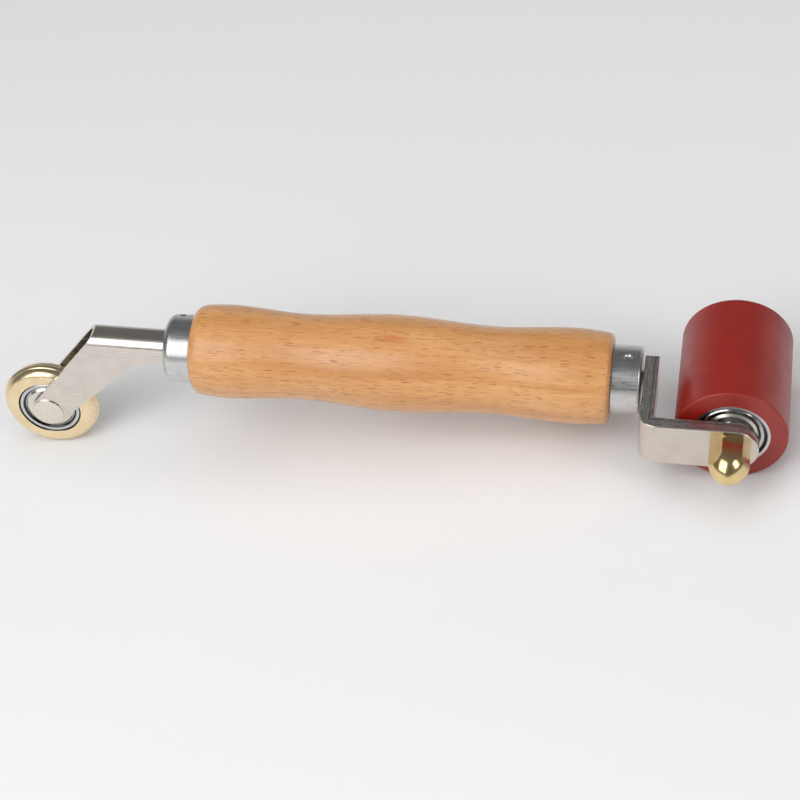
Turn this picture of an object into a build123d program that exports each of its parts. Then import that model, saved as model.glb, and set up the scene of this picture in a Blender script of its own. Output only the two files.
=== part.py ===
from build123d import *

import math
import os

# Double-ended hand seam roller, in millimetres.
# Every piece is drawn in the tool frame: +X along the handle towards the soft roller,
# Y along both axles, Z up, and the origin at the middle of the soft roller.
# REST then tips the tool until both rollers stand on Z = 0.

# Soft roller
ROLLER_LENGTH = 40.0
ROLLER_RADIUS = 16.0
SLEEVE_EDGE = 0.5
CORE_RADIUS = 11.0
CORE_SHOULDER_RADIUS = 8.4
BEARING_RECESS = 0.3
CORE_MOUTH_CHAMFER = 0.6

# Ball bearing, 6 x 19 x 6
BORE_RADIUS = 3.0
RACE_RADIUS = 9.5
BEARING_WIDTH = 6.0
INNER_SHOULDER_RADIUS = 4.7
OUTER_SHOULDER_RADIUS = 7.5
SHIELD_SEAT_RADIUS = 8.3
SHIELD_SEAT_DEPTH = 0.9
SHIELD_SHEET = 0.25
RACE_CHAMFER = 0.3
BALL_COUNT = 7
BALL_RADIUS = 1.75
BALL_PITCH_RADIUS = 6.1
BALL_CLEARANCE = 0.1
CAGE_HALF_WIDTH = 2.1
CAGE_HALF_DEPTH = 0.5

# Axle of the soft roller
ARM_GAP = 2.0
SPACER_RADIUS = 4.4
HEAD_WASHER = 1.2
HEAD_RADIUS = 5.25
HEAD_HEIGHT = 3.3
SOCKET_ACROSS_FLATS = 4.0
SOCKET_DEPTH = 2.0
NUT_ACROSS_FLATS = 10.0
NUT_FLAT_HEIGHT = 5.2
NUT_HEIGHT = 12.0
NUT_DOME_START_RADIUS = 5.9
NUT_SHOULDER_RADIUS = 4.55
NUT_SHOULDER_HEIGHT = 9.2
NUT_TIP_RADIUS = 1.3
NUT_TIP_HEIGHT = 11.75
NUT_SEAT_CHAMFER = 0.45
NUT_BORE_DEPTH = 8.0
NUT_TURN = 7.6
AXLE_PAST_ARM = 7.4

# Flat-bar arm
ARM_WIDTH = 14.0
ARM_THICKNESS = 4.0
ARM_LEG_X = -25.75
ARM_LEG_END_Y = 3.4
ARM_BEND_RADIUS = 5.0
ARM_INNER_BEND_RADIUS = 1.0
ARM_TIP_X = 8.0
ARM_EDGE = 0.3
AXLE_HOLE_CLEARANCE = 0.05

# Turned handle
HANDLE_RIGHT_X = -35.0
HANDLE_LEFT_X = -158.0
LEFT_BULGE_RADIUS = 13.75
LEFT_WAIST_RADIUS = 12.6
BELLY_RADIUS = 14.2
RIGHT_WAIST_RADIUS = 12.7
RIGHT_BULGE_RADIUS = 13.9
LEFT_FACE_RADIUS = 10.7
RIGHT_FACE_RADIUS = 11.8
SPIGOT_RADIUS = 9.0
SPIGOT_LENGTH = 7.0
SPIGOT_CHAMFER = 1.2

# Ferrules and tangs
FERRULE_RADIUS = 10.0
FERRULE_END_WALL = 1.1
LEFT_FERRULE_LENGTH = 8.2
RIGHT_FERRULE_LENGTH = 8.5
LEFT_FERRULE_EDGE = 2.6
RIGHT_FERRULE_EDGE = 0.8
FERRULE_LIP_EDGE = 0.3
DIMPLE_RADIUS = 1.6
DIMPLE_DEPTH = 0.65
TANG_RADIUS = 3.0
TANG_LENGTH = 62.0
FORK_TANG_RADIUS = 3.5
TANG_CLEARANCE = 0.3
TANG_POINT = 1.0

# Folded fork
FORK_WIDTH = 9.4
FORK_SHEET = 1.2
FORK_BEND_RADIUS = 3.8
FORK_TOP_Z = 4.9
FORK_BOTTOM_Z = -3.1
FORK_CREST_X = -188.4
FORK_HEEL_RADIUS = 9.0
CHANNEL_LENGTH = 80.0
CHANNEL_DEPTH = 60.0
FORK_END_RADIUS = 5.0
FORK_LEG_ANGLE = 44.4
FORK_TAIL_X = HANDLE_LEFT_X - SPIGOT_LENGTH
FORK_WINDOW_CLEARANCE = 0.15
FORK_TANG_OVERLAP = 12.0

# Hard wheel
WHEEL_X = -206.0
WHEEL_Z = -26.0
WHEEL_RADIUS = 14.7
WHEEL_WIDTH = 6.6
WHEEL_EDGE = 2.4
WHEEL_CROWN = 0.4
WHEEL_BORE_CHAMFER = 0.25
WASHER_RADIUS = 4.4
PIN_HEAD_RADIUS = 4.7
PIN_HEAD_HEIGHT = 0.9
DOME_EDGE_SHARE = 0.4
PIN_UPSET_RADIUS = 4.2
PIN_UPSET_HEIGHT = 0.8

# Places worked out from the sizes above
ROLLER_HALF = ROLLER_LENGTH / 2
BEARING_OUTER_Y = ROLLER_HALF - BEARING_RECESS
BEARING_INNER_Y = BEARING_OUTER_Y - BEARING_WIDTH
BEARING_MID_Y = (BEARING_OUTER_Y + BEARING_INNER_Y) / 2
ARM_INNER_Y = -ROLLER_HALF - ARM_GAP
ARM_OUTER_Y = ARM_INNER_Y - ARM_THICKNESS
NUT_TIP_Y = ARM_OUTER_Y - NUT_HEIGHT
HEAD_FACE_Y = BEARING_OUTER_Y + HEAD_WASHER
HEAD_END_Y = HEAD_FACE_Y + HEAD_HEIGHT
FORK_HALF = FORK_WIDTH / 2
FORK_INNER_HALF = FORK_HALF - FORK_SHEET
BALL_GROOVE_RADIUS = BALL_RADIUS + BALL_CLEARANCE
RIGHT_FERRULE_X = HANDLE_RIGHT_X + RIGHT_FERRULE_LENGTH
LEFT_FERRULE_X = HANDLE_LEFT_X - LEFT_FERRULE_LENGTH

# The rest pose: both rollers touch the floor
AXLE_DISTANCE = math.hypot(WHEEL_X, WHEEL_Z)
AXLE_SLOPE = math.asin((ROLLER_RADIUS - WHEEL_RADIUS) / AXLE_DISTANCE)
TILT = math.degrees(math.atan2(-WHEEL_Z, -WHEEL_X) - AXLE_SLOPE)
REST_LEFT = -AXLE_DISTANCE * math.cos(AXLE_SLOPE) - WHEEL_RADIUS
REST_X = -(REST_LEFT + ROLLER_RADIUS) / 2
REST_Y = -(NUT_TIP_Y + HEAD_END_Y) / 2
REST = Pos(REST_X, REST_Y, ROLLER_RADIUS) * Rot(0, TILT, 0)
WHEEL_CENTRE = (REST * Pos(WHEEL_X, 0, WHEEL_Z)).position


def rod_y(radius, y0, y1, x=0.0, z=0.0):
    """A solid round bar along Y, from y0 to y1."""
    return Pos(x, (y0 + y1) / 2, z) * Rot(90, 0, 0) * Cylinder(radius, abs(y1 - y0))


def tube_y(outer, inner, y0, y1, x=0.0, z=0.0):
    """A round tube along Y, from y0 to y1."""
    return rod_y(outer, y0, y1, x, z) - rod_y(inner, y0 - 1, y1 + 1, x, z)


def rod_x(radius, x0, x1):
    """A solid round bar along the handle's axis, from x0 to x1."""
    return Pos((x0 + x1) / 2, 0, 0) * Rot(0, 90, 0) * Cylinder(radius, abs(x1 - x0))


def turned_y(points):
    """The solid that a closed outline of (radius, y) points sweeps about the Y axis."""
    outline = Polyline(*[(radius, y, 0) for radius, y in points], close=True)
    return revolve(make_face(outline), Axis.Y, 360)


def turned_x(edges):
    """The solid that a closed outline in the XZ plane sweeps about the handle's axis."""
    return revolve(make_face(edges), Axis.X, 360)


def ball_groove():
    """The ring that the balls sweep, with their running clearance."""
    return Rot(90, 0, 0) * Torus(BALL_PITCH_RADIUS, BALL_GROOVE_RADIUS)


def outer_race():
    half = BEARING_WIDTH / 2
    seat = half - SHIELD_SEAT_DEPTH
    edge = RACE_CHAMFER
    ring = turned_y([
        (OUTER_SHOULDER_RADIUS, -seat),
        (SHIELD_SEAT_RADIUS, -seat),
        (SHIELD_SEAT_RADIUS, -half),
        (RACE_RADIUS - edge, -half),
        (RACE_RADIUS, -half + edge),
        (RACE_RADIUS, half - edge),
        (RACE_RADIUS - edge, half),
        (SHIELD_SEAT_RADIUS, half),
        (SHIELD_SEAT_RADIUS, seat),
        (OUTER_SHOULDER_RADIUS, seat),
    ])
    return ring - ball_groove()


def inner_race():
    half = BEARING_WIDTH / 2
    edge = RACE_CHAMFER
    ring = turned_y([
        (BORE_RADIUS, -half),
        (INNER_SHOULDER_RADIUS - edge, -half),
        (INNER_SHOULDER_RADIUS, -half + edge),
        (INNER_SHOULDER_RADIUS, half - edge),
        (INNER_SHOULDER_RADIUS - edge, half),
        (BORE_RADIUS, half),
    ])
    return ring - ball_groove()


def shield(side):
    """One pressed sheet shield: a sunken rim, a sloping step and a raised middle."""
    rim = BEARING_WIDTH / 2 - SHIELD_SEAT_DEPTH
    raised = BEARING_WIDTH / 2 - SHIELD_SHEET - 0.15
    step_out = SHIELD_SEAT_RADIUS - 0.8
    step_in = step_out - 0.7
    hole = INNER_SHOULDER_RADIUS + 0.2
    return turned_y([
        (hole, side * raised),
        (step_in, side * raised),
        (step_out, side * rim),
        (SHIELD_SEAT_RADIUS, side * rim),
        (SHIELD_SEAT_RADIUS, side * (rim + SHIELD_SHEET)),
        (step_out, side * (rim + SHIELD_SHEET)),
        (step_in, side * (raised + SHIELD_SHEET)),
        (hole, side * (raised + SHIELD_SHEET)),
    ])


def balls(radius):
    """The ring of balls, as spheres of the given radius."""
    ring = []
    for index in range(BALL_COUNT):
        angle = 2 * math.pi * index / BALL_COUNT
        x = BALL_PITCH_RADIUS * math.cos(angle)
        z = BALL_PITCH_RADIUS * math.sin(angle)
        ring.append(Pos(x, 0, z) * Sphere(radius))
    return ring


def cage():
    outer = BALL_PITCH_RADIUS + CAGE_HALF_DEPTH
    inner = BALL_PITCH_RADIUS - CAGE_HALF_DEPTH
    ring = tube_y(outer, inner, -CAGE_HALF_WIDTH, CAGE_HALF_WIDTH)
    for pocket in balls(BALL_RADIUS + BALL_CLEARANCE / 2):
        ring -= pocket
    return ring


def bearing(prefix, place):
    """The pieces of one shielded ball bearing, named from its prefix."""
    return {
        prefix + "_outer_race": place * outer_race(),
        prefix + "_inner_race": place * inner_race(),
        prefix + "_shields": Compound(children=[place * shield(-1), place * shield(1)]),
        prefix + "_balls": Compound(children=[place * ball for ball in balls(BALL_RADIUS)]),
        prefix + "_cage": place * cage(),
    }


def silicone_sleeve():
    sleeve = tube_y(ROLLER_RADIUS, CORE_RADIUS, -ROLLER_HALF, ROLLER_HALF)
    rims = [edge for edge in sleeve.edges().filter_by(GeomType.CIRCLE)
            if edge.radius > CORE_RADIUS + 1]
    return fillet(rims, SLEEVE_EDGE)


def roller_core():
    """The metal tube under the sleeve, bored at each end for a bearing."""
    mouth = RACE_RADIUS + CORE_MOUTH_CHAMFER
    seat_end = BEARING_INNER_Y
    chamfer_end = ROLLER_HALF - CORE_MOUTH_CHAMFER
    half = [
        (CORE_RADIUS, ROLLER_HALF),
        (mouth, ROLLER_HALF),
        (RACE_RADIUS, chamfer_end),
        (RACE_RADIUS, seat_end),
        (CORE_SHOULDER_RADIUS, seat_end),
    ]
    mirrored = [(radius, -y) for radius, y in reversed(half)]
    return turned_y(half + mirrored)


def bearing_spacer():
    return tube_y(SPACER_RADIUS, BORE_RADIUS, -BEARING_INNER_Y, BEARING_INNER_Y)


def arm_spacer():
    return tube_y(SPACER_RADIUS, BORE_RADIUS, ARM_INNER_Y, -BEARING_OUTER_Y)


def head_washer():
    return tube_y(SPACER_RADIUS, BORE_RADIUS, BEARING_OUTER_Y, HEAD_FACE_Y)


def axle_bolt():
    """A button-head screw with a hexagon socket."""
    shank = rod_y(BORE_RADIUS, ARM_OUTER_Y - AXLE_PAST_ARM, HEAD_FACE_Y)
    crown = HEAD_HEIGHT * 0.45
    flat_radius = HEAD_RADIUS * 0.55
    outline = [
        Line((0, HEAD_FACE_Y), (HEAD_RADIUS, HEAD_FACE_Y)),
        Line((HEAD_RADIUS, HEAD_FACE_Y), (HEAD_RADIUS, HEAD_FACE_Y + 0.4)),
        ThreePointArc(
            (HEAD_RADIUS, HEAD_FACE_Y + 0.4),
            (HEAD_RADIUS * 0.87, HEAD_FACE_Y + crown + 0.5),
            (flat_radius, HEAD_END_Y),
        ),
        Line((flat_radius, HEAD_END_Y), (0, HEAD_END_Y)),
        Line((0, HEAD_END_Y), (0, HEAD_FACE_Y)),
    ]
    head = revolve(make_face(outline), Axis.Y, 360)
    socket_plane = Plane((0, HEAD_END_Y, 0), z_dir=(0, -1, 0))
    hexagon = socket_plane * RegularPolygon(SOCKET_ACROSS_FLATS / 2, 6, major_radius=False)
    return shank + head - extrude(hexagon, SOCKET_DEPTH)


def acorn_nut():
    """A cap nut: a hexagonal bar turned to a pointed dome, with a chamfered seat."""
    seat = Plane((0, ARM_OUTER_Y, 0), x_dir=(1, 0, 0), z_dir=(0, -1, 0))
    hexagon = seat * Rot(0, 0, -NUT_TURN) * RegularPolygon(NUT_ACROSS_FLATS / 2, 6, major_radius=False)
    corner = NUT_ACROSS_FLATS / math.sqrt(3)
    rim = NUT_DOME_START_RADIUS
    chamfer = rim - corner + NUT_SEAT_CHAMFER
    dome_start = (rim, -NUT_FLAT_HEIGHT)
    shoulder = (NUT_SHOULDER_RADIUS, -NUT_SHOULDER_HEIGHT)
    tip_edge = (NUT_TIP_RADIUS, -NUT_TIP_HEIGHT)
    outline = [
        Line((0, 0), (rim - chamfer, 0)),
        Line((rim - chamfer, 0), (rim, -chamfer)),
        Line((rim, -chamfer), dome_start),
        ThreePointArc(dome_start, shoulder, tip_edge),
        Line(tip_edge, (0, -NUT_TIP_HEIGHT)),
        Line((0, -NUT_TIP_HEIGHT), (0, 0)),
    ]
    turned = Pos(0, ARM_OUTER_Y, 0) * revolve(make_face(outline), Axis.Y, 360)
    bore = rod_y(BORE_RADIUS, ARM_OUTER_Y - NUT_BORE_DEPTH, ARM_OUTER_Y + 1)
    tip = domed_disc(NUT_TIP_RADIUS, NUT_HEIGHT - NUT_TIP_HEIGHT, -1)
    tip_place = Pos(0, ARM_OUTER_Y - NUT_TIP_HEIGHT, 0)
    return (extrude(hexagon, NUT_HEIGHT) & turned) + tip_place * tip - bore


def roller_arm():
    """A flat bar on edge: a short leg across the handle's end, then along the roller."""
    outline = Polyline(
        (ARM_LEG_X, ARM_LEG_END_Y),
        (ARM_LEG_X, ARM_OUTER_Y),
        (ARM_TIP_X, ARM_OUTER_Y),
        (ARM_TIP_X, ARM_INNER_Y),
        (ARM_LEG_X + ARM_THICKNESS, ARM_INNER_Y),
        (ARM_LEG_X + ARM_THICKNESS, ARM_LEG_END_Y),
        close=True,
    )
    base = Plane.XY.offset(-ARM_WIDTH / 2)
    bar = extrude(base * make_face(outline), ARM_WIDTH)
    upright = bar.edges().filter_by(Axis.Z)
    outer_corner = [e for e in upright if e.center().X < ARM_LEG_X + 1 and e.center().Y < ARM_INNER_Y]
    bar = fillet(outer_corner, ARM_BEND_RADIUS)
    inner_x = ARM_LEG_X + ARM_THICKNESS
    inner_corner = [e for e in bar.edges().filter_by(Axis.Z)
                    if abs(e.center().X - inner_x) < 0.1 and abs(e.center().Y - ARM_INNER_Y) < 0.1]
    bar = fillet(inner_corner, ARM_INNER_BEND_RADIUS)
    tip_centre = ARM_TIP_X - ARM_WIDTH / 2
    rounded = rod_y(ARM_WIDTH / 2, ARM_OUTER_Y - 1, ARM_INNER_Y + 1, tip_centre, 0)
    body_length = tip_centre - ARM_LEG_X + 1
    body_box = Pos(tip_centre - body_length / 2, -10, 0) * Box(body_length, 60, ARM_WIDTH)
    bar &= rounded + body_box
    flats = bar.faces().sort_by(Axis.Z)
    bar = fillet(flats[0].edges() + flats[-1].edges(), ARM_EDGE)
    hole = rod_y(BORE_RADIUS + AXLE_HOLE_CLEARANCE, ARM_OUTER_Y - 1, ARM_INNER_Y + 1)
    return bar - hole


def arm_tang():
    """The round bar welded to the arm's leg and driven into the handle."""
    tang = rod_x(TANG_RADIUS, ARM_LEG_X - TANG_LENGTH, ARM_LEG_X)
    return chamfer(end_rim(tang, ARM_LEG_X - TANG_LENGTH), TANG_POINT)


def fork_tang():
    """The round bar welded inside the fork's channel and driven into the handle."""
    start = FORK_TAIL_X - FORK_TANG_OVERLAP
    tang = rod_x(FORK_TANG_RADIUS, start, start + TANG_LENGTH)
    return chamfer(end_rim(tang, start + TANG_LENGTH), TANG_POINT)


def wooden_handle():
    """The turned grip: two spigots for the ferrules and three gentle swellings."""
    left = HANDLE_LEFT_X
    right = HANDLE_RIGHT_X
    left_shoulder = (left + 2.8, 0, LEFT_BULGE_RADIUS - 0.5)
    right_shoulder = (right - 1.7, 0, RIGHT_BULGE_RADIUS - 0.65)
    grip = Spline(
        left_shoulder,
        (left + 8, 0, LEFT_BULGE_RADIUS),
        (left + 31, 0, LEFT_WAIST_RADIUS),
        (left + 59.5, 0, BELLY_RADIUS),
        (right - 32.5, 0, RIGHT_WAIST_RADIUS),
        (right - 9, 0, RIGHT_BULGE_RADIUS),
        right_shoulder,
    )
    left_face = (left, 0, LEFT_FACE_RADIUS)
    right_face = (right, 0, RIGHT_FACE_RADIUS)
    left_end = left - SPIGOT_LENGTH
    right_end = right + SPIGOT_LENGTH
    nose = SPIGOT_RADIUS - SPIGOT_CHAMFER
    outline = [
        Line((left_end, 0, 0), (left_end, 0, nose)),
        Line((left_end, 0, nose), (left_end + SPIGOT_CHAMFER, 0, SPIGOT_RADIUS)),
        Line((left_end + SPIGOT_CHAMFER, 0, SPIGOT_RADIUS), (left, 0, SPIGOT_RADIUS)),
        Line((left, 0, SPIGOT_RADIUS), left_face),
        ThreePointArc(left_face, (left + 0.9, 0, LEFT_BULGE_RADIUS - 1.45), left_shoulder),
        grip,
        ThreePointArc(right_shoulder, (right - 0.5, 0, RIGHT_BULGE_RADIUS - 1.2), right_face),
        Line(right_face, (right, 0, SPIGOT_RADIUS)),
        Line((right, 0, SPIGOT_RADIUS), (right_end - SPIGOT_CHAMFER, 0, SPIGOT_RADIUS)),
        Line((right_end - SPIGOT_CHAMFER, 0, SPIGOT_RADIUS), (right_end, 0, nose)),
        Line((right_end, 0, nose), (right_end, 0, 0)),
        Line((right_end, 0, 0), (left_end, 0, 0)),
    ]
    grip_body = turned_x(outline)
    right_bore = rod_x(TANG_RADIUS, ARM_LEG_X - TANG_LENGTH, right_end + 1)
    fork_tang_end = FORK_TAIL_X - FORK_TANG_OVERLAP + TANG_LENGTH
    left_bore = rod_x(FORK_TANG_RADIUS, left_end - 1, fork_tang_end)
    return grip_body - right_bore - left_bore


def end_rim(bar, x):
    """The circular edge of a bar along the handle's axis that lies nearest to x."""
    rims = bar.edges().filter_by(GeomType.CIRCLE)
    return min(rims, key=lambda rim: abs(rim.center().X - x))


def ferrule(open_x, closed_x, edge, dimple_angle, dimple_x):
    """A drawn cap over a spigot, rounded at its closed end and crimped by one dimple."""
    cap = rod_x(FERRULE_RADIUS, open_x, closed_x)
    cap = fillet(end_rim(cap, closed_x), edge)
    cap = fillet(end_rim(cap, open_x), FERRULE_LIP_EDGE)
    outward = math.copysign(1.0, open_x - closed_x)
    cavity_end = closed_x + outward * FERRULE_END_WALL
    cavity = rod_x(SPIGOT_RADIUS, cavity_end, open_x + outward)
    cap -= chamfer(end_rim(cavity, cavity_end), SPIGOT_CHAMFER)
    depth = FERRULE_RADIUS + DIMPLE_RADIUS - DIMPLE_DEPTH
    angle = math.radians(dimple_angle)
    dimple = Pos(dimple_x, -depth * math.sin(angle), depth * math.cos(angle)) * Sphere(DIMPLE_RADIUS)
    return cap - dimple


def roller_ferrule():
    cap = ferrule(HANDLE_RIGHT_X, RIGHT_FERRULE_X, RIGHT_FERRULE_EDGE, 8.4, -30.5)
    hole = rod_x(TANG_RADIUS + TANG_CLEARANCE, HANDLE_RIGHT_X, RIGHT_FERRULE_X + 1)
    return cap - hole


def wheel_ferrule():
    """The fork's channel passes through a window in this ferrule's end."""
    cap = ferrule(HANDLE_LEFT_X, LEFT_FERRULE_X, LEFT_FERRULE_EDGE, -28.0, -162.0)
    gap = FORK_WINDOW_CLEARANCE
    height = FORK_TOP_Z - FORK_BOTTOM_Z + 2 * gap
    window = Box(6, FORK_WIDTH + 2 * gap, height)
    cap -= Pos(LEFT_FERRULE_X, 0, (FORK_TOP_Z + FORK_BOTTOM_Z) / 2) * window
    return cap - rod_x(FORK_TANG_RADIUS + gap, LEFT_FERRULE_X - 1, HANDLE_LEFT_X)


def fork_outline():
    """One cheek seen from the side: the channel, the raked leg and its round end."""
    slope = math.radians(FORK_LEG_ANGLE)
    radius = FORK_END_RADIUS
    centre = Vector(WHEEL_X, 0, WHEEL_Z)
    heel = centre + Vector(math.sin(slope), 0, -math.cos(slope)) * radius
    rise = FORK_BOTTOM_Z - heel.Z
    knee = Vector(heel.X + rise / math.tan(slope), 0, FORK_BOTTOM_Z)
    crest = Vector(FORK_CREST_X, 0, FORK_TOP_Z)
    reach = crest - centre
    reach_angle = math.atan2(reach.Z, reach.X)
    tangent_angle = reach_angle + math.acos(radius / reach.length)
    toe = centre + Vector(math.cos(tangent_angle), 0, math.sin(tangent_angle)) * radius
    middle_angle = (tangent_angle + slope - math.pi / 2 + 2 * math.pi) / 2
    tip = centre + Vector(math.cos(middle_angle), 0, math.sin(middle_angle)) * radius
    tail_top = Vector(FORK_TAIL_X, 0, FORK_TOP_Z)
    tail_bottom = Vector(FORK_TAIL_X, 0, FORK_BOTTOM_Z)
    return make_face([
        Line(tail_top, crest),
        Line(crest, toe),
        ThreePointArc(toe, tip, heel),
        Line(heel, knee),
        Line(knee, tail_bottom),
        Line(tail_bottom, tail_top),
    ])


def channel_bar():
    """An endless folded channel with long cheeks, for the fork's outline to cut from."""
    outside = Box(CHANNEL_LENGTH, FORK_WIDTH, CHANNEL_DEPTH)
    corners = [e for e in outside.edges().filter_by(Axis.X) if e.center().Z > 0]
    outside = fillet(corners, FORK_BEND_RADIUS)
    inside = Pos(0, 0, -FORK_SHEET) * Box(2 * CHANNEL_LENGTH, 2 * FORK_INNER_HALF, CHANNEL_DEPTH)
    hollow_corners = [e for e in inside.edges().filter_by(Axis.X) if e.center().Z > 0]
    inside = fillet(hollow_corners, FORK_BEND_RADIUS - FORK_SHEET)
    return Pos(WHEEL_X + CHANNEL_LENGTH / 4, 0, FORK_TOP_Z - CHANNEL_DEPTH / 2) * (outside - inside)


def wheel_fork():
    blank = extrude(fork_outline(), FORK_WIDTH, both=True)
    knees = [e for e in blank.edges().filter_by(Axis.Y)
             if abs(e.center().Z - FORK_BOTTOM_Z) < 0.1 and e.center().X < FORK_TAIL_X - 1]
    blank = fillet(knees, FORK_HEEL_RADIUS)
    fork = blank & channel_bar()
    return fork - rod_y(BORE_RADIUS, -FORK_WIDTH, FORK_WIDTH, WHEEL_X, WHEEL_Z)


def domed_disc(radius, height, side):
    """A low round head on the plane Y = 0: a short edge, then a shallow spherical dome."""
    edge = height * DOME_EDGE_SHARE
    rise = height - edge
    sphere = (radius * radius + rise * rise) / (2 * rise)
    ball = Pos(0, side * (height - sphere), 0) * Sphere(sphere)
    return rod_y(radius, 0, side * height) & ball


def wheel_pin():
    """The wheel's rivet: a low domed head on the near side, upset on the far side."""
    shank = rod_y(BORE_RADIUS, -FORK_HALF, FORK_HALF)
    near_head = domed_disc(PIN_HEAD_RADIUS, PIN_HEAD_HEIGHT, -1)
    far_head = domed_disc(PIN_UPSET_RADIUS, PIN_UPSET_HEIGHT, 1)
    near_place = Pos(0, -FORK_HALF, 0)
    far_place = Pos(0, FORK_HALF, 0)
    return Pos(WHEEL_X, 0, WHEEL_Z) * (shank + near_place * near_head + far_place * far_head)


def wheel_washer(side):
    inner = BEARING_WIDTH / 2
    return tube_y(WASHER_RADIUS, BORE_RADIUS, side * inner, side * FORK_INNER_HALF, WHEEL_X, WHEEL_Z)


def brass_wheel():
    """A narrow wheel with a crowned tread and well rounded rims, bored for a bearing."""
    half = WHEEL_WIDTH / 2
    bore = RACE_RADIUS
    lead = WHEEL_BORE_CHAMFER
    shoulder = WHEEL_RADIUS - WHEEL_CROWN
    inset = half - WHEEL_EDGE
    bulge = WHEEL_EDGE * math.sqrt(0.5)
    rim = shoulder - WHEEL_EDGE
    outline = [
        Line((bore, -half + lead), (bore + lead, -half)),
        Line((bore + lead, -half), (rim, -half)),
        ThreePointArc((rim, -half), (rim + bulge, -inset - bulge), (shoulder, -inset)),
        ThreePointArc((shoulder, -inset), (WHEEL_RADIUS, 0), (shoulder, inset)),
        ThreePointArc((shoulder, inset), (rim + bulge, inset + bulge), (rim, half)),
        Line((rim, half), (bore + lead, half)),
        Line((bore + lead, half), (bore, half - lead)),
        Line((bore, half - lead), (bore, -half + lead)),
    ]
    return Pos(WHEEL_X, 0, WHEEL_Z) * revolve(make_face(outline), Axis.Y, 360)


def all_parts():
    parts = {
        "wooden_handle": wooden_handle(),
        "roller_ferrule": roller_ferrule(),
        "wheel_ferrule": wheel_ferrule(),
        "arm_tang": arm_tang(),
        "roller_arm": roller_arm(),
        "axle_bolt": axle_bolt(),
        "head_washer": head_washer(),
        "arm_spacer": arm_spacer(),
        "bearing_spacer": bearing_spacer(),
        "acorn_nut": acorn_nut(),
        "silicone_sleeve": silicone_sleeve(),
        "roller_core": roller_core(),
        "fork_tang": fork_tang(),
        "wheel_fork": wheel_fork(),
        "wheel_pin": wheel_pin(),
        "near_wheel_washer": wheel_washer(-1),
        "far_wheel_washer": wheel_washer(1),
        "brass_wheel": brass_wheel(),
    }
    parts.update(bearing("near_bearing", Pos(0, -BEARING_MID_Y, 0)))
    parts.update(bearing("far_bearing", Pos(0, BEARING_MID_Y, 0)))
    parts.update(bearing("wheel_bearing", Pos(WHEEL_X, 0, WHEEL_Z)))
    return parts


def write_parts():
    os.makedirs("parts", exist_ok=True)
    for name, part in all_parts().items():
        export_step(REST * part, f"parts/{name}.step")
    print("tilt", round(TILT, 3))
    print("soft roller centre", round(REST_X, 3), round(REST_Y, 3), ROLLER_RADIUS)
    print("hard wheel centre", WHEEL_CENTRE)


write_parts()
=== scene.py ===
"""Looks for the double-ended hand seam roller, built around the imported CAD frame.

Lengths are in metres, in the row frame. Every wood, rubber and metal texture is laid out in the tool frame:
+X along the handle towards the soft roller, Y along both axles, origin at the middle of the soft roller.
"""

import math

import bpy
from mathutils import Matrix, Vector

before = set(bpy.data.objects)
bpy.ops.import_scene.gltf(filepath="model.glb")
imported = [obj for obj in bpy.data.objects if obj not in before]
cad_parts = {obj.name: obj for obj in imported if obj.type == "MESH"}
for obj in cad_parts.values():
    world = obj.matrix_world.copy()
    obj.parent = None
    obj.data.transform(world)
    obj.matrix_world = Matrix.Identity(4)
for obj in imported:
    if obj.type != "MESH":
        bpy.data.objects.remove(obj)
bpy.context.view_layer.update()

# The tool frame's place in the row frame, and the X and Z of the two axles in the tool frame
TOOL_ORIGIN = (0.103165, 0.0069, 0.016)
TOOL_TILT = math.radians(6.835)
SOFT_AXLE = (0.0, 0.0)
WHEEL_AXLE = (-0.206, -0.026)

# Camera
CAMERA_PLACE = Vector((0.15721, -0.48188, 0.46459))
CAMERA_AIM = Vector((0.00991, -0.01032, 0.0289))
CAMERA_ROLL = math.radians(12.54)
CAMERA_LENS = 103.68
CAMERA_SENSOR = 36.0
CAMERA_NEAR = 0.01
CAMERA_FAR = 20.0

# The room: dark above and in front, with a light low wall behind. The wall fades in over these parts
# of the direction's Y, and fades out over these of its Z.
ROOM_DARK = (0.155, 0.157, 0.162, 1.0)
ROOM_LIGHT = (0.6, 0.6, 0.6, 1.0)
WALL_BEHIND = (0.2, 0.7)
WALL_TOP = (0.5, 0.15)

# Soft lights: name, place, aim, width, height, power, and whether reflections show it
LIGHTS = (
    ("key_left", (-0.45, -0.70, 0.70), (0.0, 0.0, 0.02), 0.8, 1.0, 6.0, True),
    ("fill_right", (1.05, -0.55, 0.75), (0.05, 0.0, 0.0), 0.5, 0.7, 3.6, True),
    ("front_fill", (-0.25, -1.0, 0.95), (0.0, 0.0, 0.0), 1.4, 0.6, 4.8, False),
    ("overhead", (0.02, 0.0, 1.8), (0.0, 0.0, 0.0), 2.4, 2.1, 17.5, False),
)

# Floor
FLOOR_REACH = 4.0
FLOOR_DARK = (0.80, 0.80, 0.805, 1.0)
FLOOR_LIGHT = (0.83, 0.83, 0.83, 1.0)
FLOOR_CLOUD = 3.0

# Beech: linear colours
BEECH_LIGHT = (0.68, 0.345, 0.125, 1.0)
BEECH_MID = (0.585, 0.27, 0.085, 1.0)
BEECH_DARK = (0.46, 0.19, 0.055, 1.0)
BEECH_FLECK = (0.30, 0.085, 0.018, 1.0)
BEECH_PINK = (0.68, 0.37, 0.21, 1.0)
BEECH_KNOT = (0.55, 0.17, 0.045, 1.0)

# Beech patterns: repeats per metre along and across the grain, and an offset that keeps them apart
BROAD_GRAIN = (14, 150, 150)
FINE_GRAIN = (130, 2100, 2100)
RING_GRAIN = (9, 90, 300)
RING_OFFSET = (0.3, 0.0, 0.0)
PINK_PATCH = (25, 70, 70)
PINK_OFFSET = (0.7, 0.1, 0.4)

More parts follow.
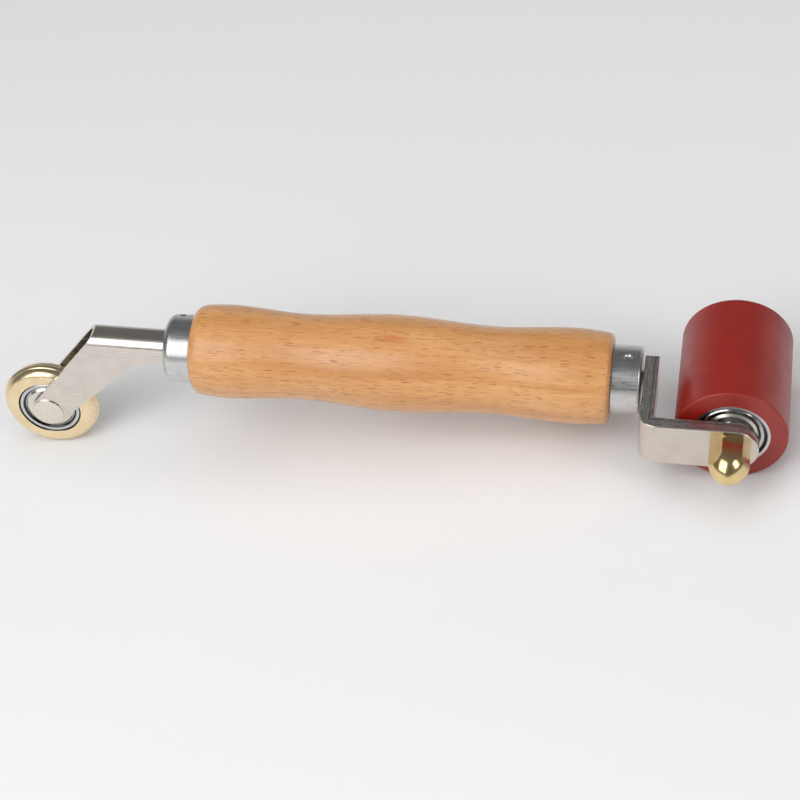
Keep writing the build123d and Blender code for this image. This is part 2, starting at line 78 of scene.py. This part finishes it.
# Dark flecks: repeats per metre, offset, reach within a cell, strength
FLECKS = (
    ((150, 1200, 1200), (0.0, 0.0, 0.0), 0.26, 0.75),
    ((230, 1900, 1900), (0.4, 0.2, 0.7), 0.30, 0.55),
    ((85, 1500, 1500), (0.9, 0.6, 0.1), 0.24, 0.6),
    ((130, 2300, 2300), (0.3, 0.9, 0.5), 0.34, 0.5),
)
FLECK_CORE = 0.75
FLECK_CHANCE = (0.45, 0.97)
PORE_SHARE = 0.5
PORE_STRENGTH = 0.3
PORE_DEPTH = 0.00007

# The reddish spot on the grip, in the tool frame: its scale, and its place in that scale
KNOT_SCALE = (150, 520, 520)
KNOT_PLACE = (-14.7, -2.25, 6.93)
KNOT_FADE = (1.0, 0.2)

# Red silicone: linear colours, repeats per metre
SILICONE_LIGHT = (0.285, 0.0115, 0.005, 1.0)
SILICONE_DARK = (0.25, 0.009, 0.004, 1.0)
SILICONE_DUST = (0.5, 0.16, 0.12, 1.0)
SILICONE_CLOUD = 160.0
SILICONE_GRAIN = 2600.0
SILICONE_GRAIN_STRENGTH = 0.12
SILICONE_GRAIN_DEPTH = 0.00003
DUST_CELLS = 320.0
DUST_REACH = (0.09, 0.05)
DUST_CHANCE = (0.8, 0.95)
DUST_STRENGTH = 0.35

# Turned metal: tarnish and its effect on the roughness, and rings
TARNISH_CLOUD = 120.0
TARNISH_SPAN = (0.35, 0.75)
TURNED_SPREAD = 0.03
RING_STRENGTH = 0.5

# Painted shade: a dark band where two rings meet, standing in for the shadow in the gaps and grooves between
# them
GAP_SHADE = (0.045, 0.043, 0.04, 1.0)
GAP_SHADE_EDGE = 0.00012

# Sheet and bar steel: mottle, pits and scratches, and how far the scratches vary the roughness
MOTTLE_CLOUD = 210.0
PITS = 2400.0
PIT_STRENGTH = 0.35
SCRATCH_STRENGTH = 0.45
SCRATCH_SMOOTHS = 0.06
SCRATCH_DULLS = 0.08

# Scratch patterns: repeats per metre along X, Y and Z
ARM_SCRATCHES = (60, 60, 1900)
FORK_SCRATCHES = (40, 2600, 1500)
PIN_SCRATCHES = (900, 900, 900)
DRAWN_SCRATCHES = (150, 2400, 2400)

# The flat-bar arm in the tool frame: its leg's and its front's outer faces, and the burr left by the shear
ARM_LEG_X = -0.02575
ARM_FACE_Y = -0.026
BURR_START = 0.0024
BURR_MIDDLE = 0.0029
BURR_END = 0.0034
BURR_DARKENS = 0.13

# The arm's sheared edges: how far up a face looks to count as one, streaks across, along and down the bar
SHEAR_FACES = (0.75, 0.97)
SHEAR_STREAKS = (3400, 420, 1500)
SHEAR_GRAIN = (3200, 1900, 1200)
SHEAR_STREAK_SHARE = 0.55
SHEAR_GRAIN_SHARE = 0.45
SHEAR_SPAN = (0.34, 0.66)
SHEAR_DARK = (0.36, 0.335, 0.315, 1.0)
SHEAR_LIGHT = (0.86, 0.82, 0.78, 1.0)
SHEAR_ROUGHNESS = 0.42
SHEAR_STRENGTH = 0.7
SHEAR_DEPTH = 0.00012


class Net:
    """Builds one node material: add() makes a node, links sockets and sets plain values."""

    def __init__(self, name, **sockets):
        self.material = bpy.data.materials.new(name)
        self.material.use_nodes = True
        self.tree = self.material.node_tree
        self.shader = self.tree.nodes["Principled BSDF"]
        for key, value in sockets.items():
            self.shader.inputs[key.replace("_", " ")].default_value = value

    def add(self, kind, inputs, **settings):
        node = self.tree.nodes.new(kind)
        for key, value in settings.items():
            setattr(node, key, value)
        for key, value in inputs.items():
            if isinstance(value, bpy.types.NodeSocket):
                self.tree.links.new(value, node.inputs[key])
            else:
                node.inputs[key].default_value = value
        return node

    def link(self, socket, name):
        self.tree.links.new(socket, self.shader.inputs[name])

    def linked(self, name):
        """The socket that already feeds one of the shader's."""
        return self.shader.inputs[name].links[0].from_socket

    def tool(self):
        """Object coordinates in the tool frame."""
        coords = self.add("ShaderNodeTexCoord", {})
        placed = self.add(
            "ShaderNodeMapping",
            {"Vector": coords.outputs["Object"], "Location": TOOL_ORIGIN, "Rotation": (0, TOOL_TILT, 0)},
            vector_type="TEXTURE",
        )
        return placed.outputs["Vector"]

    def tool_normal(self):
        """The surface direction in the tool frame."""
        coords = self.add("ShaderNodeTexCoord", {})
        turned_to_tool = self.add(
            "ShaderNodeMapping",
            {"Vector": coords.outputs["Normal"], "Rotation": (0, TOOL_TILT, 0)},
            vector_type="TEXTURE",
        )
        return turned_to_tool.outputs["Vector"]

    def stretched(self, vector, scale, location=(0, 0, 0)):
        made = self.add("ShaderNodeMapping", {"Vector": vector, "Scale": scale, "Location": location})
        return made.outputs["Vector"]

    def noise(self, vector, scale=1.0, detail=3.0, roughness=0.5, distortion=0.0):
        inputs = {"Vector": vector, "Scale": scale, "Detail": detail, "Roughness": roughness}
        made = self.add("ShaderNodeTexNoise", {**inputs, "Distortion": distortion})
        return made.outputs["Fac"]

    def ramp(self, value, low, high, to_low=0.0, to_high=1.0):
        """A smooth step from to_low to to_high as value goes from low to high."""
        inputs = {"Value": value, "From Min": low, "From Max": high, "To Min": to_low, "To Max": to_high}
        return self.add("ShaderNodeMapRange", inputs, interpolation_type="SMOOTHSTEP").outputs["Result"]

    def maths(self, operation, first, second=0.0):
        made = self.add("ShaderNodeMath", {0: first, 1: second}, operation=operation)
        return made.outputs[0]

    def mix(self, share, first, second):
        made = self.add("ShaderNodeMix", {0: share, 6: first, 7: second}, data_type="RGBA", blend_type="MIX")
        return made.outputs[2]

    def layer(self, under, over, pattern, low, high, strength):
        """Lays one colour over another, up to strength, as pattern goes from low to high."""
        return self.mix(self.maths("MULTIPLY", self.ramp(pattern, low, high), strength), under, over)

    def parts(self, vector):
        return self.add("ShaderNodeSeparateXYZ", {0: vector}).outputs

    def radius(self, vector, axle):
        """Distance from an axle: a line along Y through the X and Z given."""
        xyz = self.parts(vector)
        x = self.maths("SUBTRACT", xyz[0], axle[0])
        z = self.maths("SUBTRACT", xyz[2], axle[1])
        joined = self.add("ShaderNodeCombineXYZ", {0: x, 1: z})
        length = self.add("ShaderNodeVectorMath", {0: joined.outputs[0]}, operation="LENGTH")
        return length.outputs["Value"]

    def bump(self, height, strength, distance, below=None):
        inputs = {"Height": height, "Strength": strength, "Distance": distance}
        if below is not None:
            inputs["Normal"] = below
        return self.add("ShaderNodeBump", inputs).outputs["Normal"]


def fleck_pattern(net, tool):
    """Short dark dashes along the grain, in layers of different sizes, with some faint or absent."""
    flecks = None
    for scale, offset, reach, strength in FLECKS:
        place = net.stretched(tool, scale, offset)
        cells = net.add("ShaderNodeTexVoronoi", {"Vector": place, "Scale": 1.0, "Randomness": 1.0})
        dash = net.ramp(cells.outputs["Distance"], reach, reach * FLECK_CORE)
        chance = net.ramp(net.parts(cells.outputs["Color"])[0], *FLECK_CHANCE)
        dash = net.maths("MULTIPLY", net.maths("MULTIPLY", dash, chance), strength)
        flecks = dash if flecks is None else net.maths("MAXIMUM", flecks, dash)
    return flecks


def beech():
    """Turned beech under a satin clear lacquer, with short dark flecks along the grain."""
    net = Net("beech_wood", Roughness=0.45, Coat_Weight=0.8, Coat_Roughness=0.24, Coat_IOR=1.45)
    tool = net.tool()
    broad = net.noise(net.stretched(tool, BROAD_GRAIN), detail=3.0, distortion=0.4)
    fine = net.noise(net.stretched(tool, FINE_GRAIN), detail=4.0, roughness=0.65)
    rings = net.noise(net.stretched(tool, RING_GRAIN, RING_OFFSET), detail=4.0, distortion=0.5)
    patches = net.noise(net.stretched(tool, PINK_PATCH, PINK_OFFSET), detail=2.0)
    knot_place = {0: net.stretched(tool, KNOT_SCALE), 1: KNOT_PLACE}
    knot = net.add("ShaderNodeVectorMath", knot_place, operation="DISTANCE").outputs["Value"]
    flecks = fleck_pattern(net, tool)

    colour = net.layer(BEECH_LIGHT, BEECH_MID, broad, low=0.35, high=0.68, strength=1.0)
    colour = net.layer(colour, BEECH_PINK, patches, low=0.5, high=0.75, strength=0.5)
    colour = net.layer(colour, BEECH_DARK, rings, low=0.48, high=0.72, strength=0.5)
    colour = net.layer(colour, BEECH_DARK, fine, low=0.45, high=0.72, strength=0.6)
    colour = net.layer(colour, BEECH_KNOT, knot, *KNOT_FADE, strength=0.75)
    colour = net.mix(flecks, colour, BEECH_FLECK)
    net.link(colour, "Base Color")
    net.link(net.ramp(fine, low=0.2, high=0.8, to_low=0.4, to_high=0.52), "Roughness")

    pores = net.maths("SUBTRACT", net.maths("MULTIPLY", fine, PORE_SHARE), flecks)
    relief = net.bump(pores, PORE_STRENGTH, PORE_DEPTH)
    net.link(relief, "Normal")
    net.link(relief, "Coat Normal")
    return net.material


def silicone():
    """Cast red silicone, slightly glossy, with a faint moulded mottle and dust."""
    net = Net("red_silicone", Roughness=0.36, Specular_IOR_Level=0.68, Coat_Weight=0.1, Coat_Roughness=0.3)
    tool = net.tool()
    cloud = net.noise(tool, SILICONE_CLOUD, detail=3.0)
    grain = net.noise(tool, SILICONE_GRAIN, detail=2.0)
    dust = net.add("ShaderNodeTexVoronoi", {"Vector": tool, "Scale": DUST_CELLS})
    speck = net.ramp(dust.outputs["Distance"], *DUST_REACH)
    speck = net.maths("MULTIPLY", speck, net.ramp(net.parts(dust.outputs["Color"])[1], *DUST_CHANCE))
    colour = net.layer(SILICONE_LIGHT, SILICONE_DARK, cloud, low=0.3, high=0.7, strength=1.0)
    colour = net.mix(net.maths("MULTIPLY", speck, DUST_STRENGTH), colour, SILICONE_DUST)
    net.link(colour, "Base Color")
    net.link(net.ramp(cloud, low=0.25, high=0.75, to_low=0.32, to_high=0.42), "Roughness")
    net.link(net.bump(grain, SILICONE_GRAIN_STRENGTH, SILICONE_GRAIN_DEPTH), "Normal")
    return net.material


def turned(name, colour, shade, roughness, axle, pitch, depth, gap_shade=None):
    """Turned metal: fine rings round an axle, a little tarnish, and painted shade between the two given
    radii, a dark band for the shadow where two rings meet.
    """
    net = Net(name, Metallic=1.0, Roughness=roughness)
    tool = net.tool()
    cloud = net.noise(tool, TARNISH_CLOUD, detail=4.0)
    radius = net.radius(tool, axle)
    skin = net.mix(net.ramp(cloud, *TARNISH_SPAN), colour, shade)
    # Painted shade: darkens the band between the two radii, for the shadow in the gap where two rings meet
    if gap_shade:
        inner, outer = gap_shade
        inside = net.ramp(radius, inner - GAP_SHADE_EDGE, inner + GAP_SHADE_EDGE)
        outside = net.ramp(radius, outer + GAP_SHADE_EDGE, outer - GAP_SHADE_EDGE)
        skin = net.mix(net.maths("MULTIPLY", inside, outside), skin, GAP_SHADE)
    net.link(skin, "Base Color")
    out = net.maths("MULTIPLY", radius, pitch)
    along = net.maths("MULTIPLY", net.parts(tool)[1], pitch)
    rings = net.noise(net.add("ShaderNodeCombineXYZ", {0: out, 1: along}).outputs[0], detail=2.0)
    smooth = roughness - TURNED_SPREAD
    dull = roughness + TURNED_SPREAD
    net.link(net.ramp(cloud, low=0.3, high=0.7, to_low=smooth, to_high=dull), "Roughness")
    net.link(net.bump(rings, RING_STRENGTH, depth), "Normal")
    return net.material


def scratched(name, colour, shade, roughness, scratches, depth=0.000012, mottle=0.75):
    """The net of a rolled, drawn or tumbled steel: faint scratches along one direction over a soft mottle."""
    net = Net(name, Metallic=1.0, Roughness=roughness)
    tool = net.tool()
    lines = net.noise(net.stretched(tool, scratches), detail=4.0, roughness=0.65)
    cloud = net.noise(tool, MOTTLE_CLOUD, detail=4.0)
    pits = net.noise(tool, PITS, detail=3.0)
    net.link(net.layer(colour, shade, cloud, low=0.35, high=0.75, strength=mottle), "Base Color")
    smooth = roughness - SCRATCH_SMOOTHS
    dull = roughness + SCRATCH_DULLS
    net.link(net.ramp(lines, low=0.3, high=0.7, to_low=smooth, to_high=dull), "Roughness")
    pitted = net.bump(pits, PIT_STRENGTH, depth)
    net.link(net.bump(lines, SCRATCH_STRENGTH, depth, pitted), "Normal")
    return net


def drawn(name, colour, shade, roughness):
    """Drawn metal: faint lengthwise draw lines and handling marks."""
    return scratched(name, colour, shade, roughness, DRAWN_SCRATCHES, depth=0.000008).material


def arm_steel():
    """Flat-bar stainless: smooth faces, and sheared edges with streaks that follow the bar round its bend."""
    net = scratched(
        "roller_arm_steel", (0.68, 0.615, 0.55, 1), (0.61, 0.55, 0.49, 1), roughness=0.2,
        scratches=ARM_SCRATCHES)
    xyz = net.parts(net.tool())
    up = net.maths("ABSOLUTE", net.parts(net.tool_normal())[2])
    edge = net.ramp(up, *SHEAR_FACES)
    from_leg = net.maths("SUBTRACT", xyz[0], ARM_LEG_X)
    from_front = net.maths("SUBTRACT", xyz[1], ARM_FACE_Y)
    across = net.maths("MINIMUM", from_leg, from_front)
    along = net.maths("ADD", xyz[0], xyz[1])
    bar = net.add("ShaderNodeCombineXYZ", {0: across, 1: along, 2: xyz[2]}).outputs[0]

    streaks = net.noise(net.stretched(bar, SHEAR_STREAKS), detail=3.0, roughness=0.6)
    grain = net.noise(net.stretched(bar, SHEAR_GRAIN), detail=4.0, roughness=0.7)
    streaks = net.maths("MULTIPLY", streaks, SHEAR_STREAK_SHARE)
    grain = net.maths("MULTIPLY", grain, SHEAR_GRAIN_SHARE)
    rising = net.ramp(across, BURR_START, BURR_MIDDLE)
    falling = net.ramp(across, BURR_END, BURR_MIDDLE)
    burr = net.maths("MULTIPLY", net.maths("MULTIPLY", rising, falling), BURR_DARKENS)
    worn = net.maths("SUBTRACT", net.maths("ADD", streaks, grain), burr)

    sheared = net.mix(net.ramp(worn, *SHEAR_SPAN), SHEAR_DARK, SHEAR_LIGHT)
    net.link(net.mix(edge, net.linked("Base Color"), sheared), "Base Color")
    roughness = {0: edge, 2: net.linked("Roughness"), 3: SHEAR_ROUGHNESS}
    net.link(net.add("ShaderNodeMix", roughness, data_type="FLOAT").outputs[0], "Roughness")
    height = net.maths("MULTIPLY", worn, edge)
    net.link(net.bump(height, SHEAR_STRENGTH, SHEAR_DEPTH, net.linked("Normal")), "Normal")
    return net.material


def camera():
    data = bpy.data.cameras.new("camera")
    data.lens = CAMERA_LENS
    data.sensor_width = CAMERA_SENSOR
    data.clip_start = CAMERA_NEAR
    data.clip_end = CAMERA_FAR
    data.dof.use_dof = False
    made = bpy.data.objects.new("camera", data)
    bpy.context.scene.collection.objects.link(made)
    aimed = (CAMERA_AIM - CAMERA_PLACE).to_track_quat("-Z", "Y").to_matrix().to_4x4()
    made.matrix_world = Matrix.Translation(CAMERA_PLACE) @ aimed @ Matrix.Rotation(-CAMERA_ROLL, 4, "Z")
    bpy.context.scene.camera = made


def soft_light(name, place, aim, width, height, power, shows):
    data = bpy.data.lights.new(name, "AREA")
    data.shape = "RECTANGLE"
    data.size = width
    data.size_y = height
    data.energy = power
    made = bpy.data.objects.new(name, data)
    bpy.context.scene.collection.objects.link(made)
    made.location = place
    made.rotation_mode = "QUATERNION"
    made.rotation_quaternion = (Vector(aim) - Vector(place)).to_track_quat("-Z", "Y")
    made.visible_glossy = shows


def room():
    """The world: ROOM_DARK, with ROOM_LIGHT low down behind."""
    world = bpy.data.worlds.new("studio")
    bpy.context.scene.world = world
    world.use_nodes = True
    tree = world.node_tree
    coords = tree.nodes.new("ShaderNodeTexCoord")
    parts = tree.nodes.new("ShaderNodeSeparateXYZ")
    tree.links.new(coords.outputs["Generated"], parts.inputs[0])
    both = tree.nodes.new("ShaderNodeMath")
    both.operation = "MULTIPLY"
    for slot, axis, (low, high) in ((0, "Y", WALL_BEHIND), (1, "Z", WALL_TOP)):
        share = tree.nodes.new("ShaderNodeMapRange")
        share.interpolation_type = "SMOOTHSTEP"
        share.inputs["From Min"].default_value = low
        share.inputs["From Max"].default_value = high
        tree.links.new(parts.outputs[axis], share.inputs["Value"])
        tree.links.new(share.outputs["Result"], both.inputs[slot])
    mix = tree.nodes.new("ShaderNodeMix")
    mix.data_type = "RGBA"
    mix.inputs[6].default_value = ROOM_DARK
    mix.inputs[7].default_value = ROOM_LIGHT
    tree.links.new(both.outputs[0], mix.inputs[0])
    tree.links.new(mix.outputs[2], tree.nodes["Background"].inputs["Color"])


def floor():
    mesh = bpy.data.meshes.new("floor")
    corners = [(-FLOOR_REACH, -FLOOR_REACH, 0), (FLOOR_REACH, -FLOOR_REACH, 0)]
    corners += [(FLOOR_REACH, FLOOR_REACH, 0), (-FLOOR_REACH, FLOOR_REACH, 0)]
    mesh.from_pydata(corners, [], [(0, 1, 2, 3)])
    made = bpy.data.objects.new("floor", mesh)
    bpy.context.scene.collection.objects.link(made)
    net = Net("pale_floor", Roughness=0.6, Specular_IOR_Level=0.3)
    coords = net.add("ShaderNodeTexCoord", {}).outputs["Object"]
    tone = net.noise(coords, FLOOR_CLOUD, detail=2.0)
    net.link(net.mix(tone, FLOOR_DARK, FLOOR_LIGHT), "Base Color")
    mesh.materials.append(net.material)


def plain_view():
    view = bpy.context.scene.view_settings
    view.view_transform = "Standard"
    view.look = "None"
    view.exposure = 0.0


def dress(names, material):
    for name in names:
        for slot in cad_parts[name].material_slots:
            slot.material = material


camera()
room()
for light in LIGHTS:
    soft_light(*light)
plain_view()
floor()

# The handle and its metalwork
dress(["wooden_handle"], beech())
dress(["roller_ferrule", "wheel_ferrule"], drawn(
    "ferrule_steel", (0.66, 0.655, 0.65, 1), (0.57, 0.565, 0.56, 1), roughness=0.3))
dress(["arm_tang", "fork_tang"], drawn(
    "plain_steel", (0.4, 0.39, 0.38, 1), (0.3, 0.29, 0.28, 1), roughness=0.36))
dress(["roller_arm"], arm_steel())
dress(["wheel_fork"], scratched(
    "fork_steel", (0.73, 0.67, 0.61, 1), (0.65, 0.60, 0.55, 1), roughness=0.24,
    scratches=FORK_SCRATCHES).material)
dress(["wheel_pin"], scratched(
    "pin_steel", (0.80, 0.73, 0.65, 1), (0.74, 0.68, 0.61, 1), roughness=0.22, scratches=PIN_SCRATCHES,
    depth=0.000004, mottle=0.3).material)
dress(["axle_bolt", "head_washer", "arm_spacer", "near_wheel_washer", "far_wheel_washer"], turned(
    "zinc_steel", (0.6, 0.61, 0.63, 1), (0.46, 0.47, 0.5, 1), roughness=0.24,
    axle=SOFT_AXLE, pitch=2200, depth=0.00002))
dress(["acorn_nut"], turned(
    "nut_brass", (0.86, 0.67, 0.34, 1), (0.74, 0.54, 0.25, 1), roughness=0.19,
    axle=SOFT_AXLE, pitch=1200, depth=0.000006))

# The soft roller
dress(["silicone_sleeve"], silicone())
# The core gets painted shade: a dark band round its bore, for the shadow where the bearing sits recessed
dress(["roller_core"], turned(
    "core_aluminium", (0.72, 0.71, 0.69, 1), (0.6, 0.6, 0.6, 1), roughness=0.28,
    axle=SOFT_AXLE, pitch=3000, depth=0.00002, gap_shade=(0.0094, 0.0102)))
dress([
    "near_bearing_outer_race", "near_bearing_inner_race", "near_bearing_balls", "near_bearing_cage",
    "far_bearing_outer_race", "far_bearing_inner_race", "far_bearing_balls", "far_bearing_cage",
    "bearing_spacer",
], turned(
    "bearing_steel", (0.62, 0.62, 0.62, 1), (0.52, 0.52, 0.53, 1), roughness=0.16,
    axle=SOFT_AXLE, pitch=5000, depth=0.00001))
# The shields get painted shade: a dark band at their outer edge, for the shadowed groove next to the outer
# race
dress(["near_bearing_shields", "far_bearing_shields"], turned(
    "shield_steel", (0.80, 0.78, 0.70, 1), (0.70, 0.68, 0.61, 1), roughness=0.32,
    axle=SOFT_AXLE, pitch=2600, depth=0.00002, gap_shade=(0.0076, 0.0084)))

# The hard wheel
# The wheel gets painted shade: a dark band round its bore, for the shadowed gap next to the bearing
dress(["brass_wheel"], turned(
    "wheel_brass", (0.93, 0.765, 0.51, 1), (0.86, 0.68, 0.42, 1), roughness=0.27,
    axle=WHEEL_AXLE, pitch=2600, depth=0.00002, gap_shade=(0.0092, 0.0097)))
dress([
    "wheel_bearing_outer_race", "wheel_bearing_inner_race", "wheel_bearing_balls", "wheel_bearing_cage",
], turned(
    "wheel_bearing_steel", (0.62, 0.62, 0.62, 1), (0.52, 0.52, 0.53, 1), roughness=0.16,
    axle=WHEEL_AXLE, pitch=5000, depth=0.00001))
# The shields get painted shade: a dark band at their outer edge, for the shadowed groove next to the outer
# race
dress(["wheel_bearing_shields"], turned(
    "wheel_shield_steel", (0.74, 0.72, 0.66, 1), (0.62, 0.6, 0.55, 1), roughness=0.2,
    axle=WHEEL_AXLE, pitch=2600, depth=0.00002, gap_shade=(0.0076, 0.0083)))
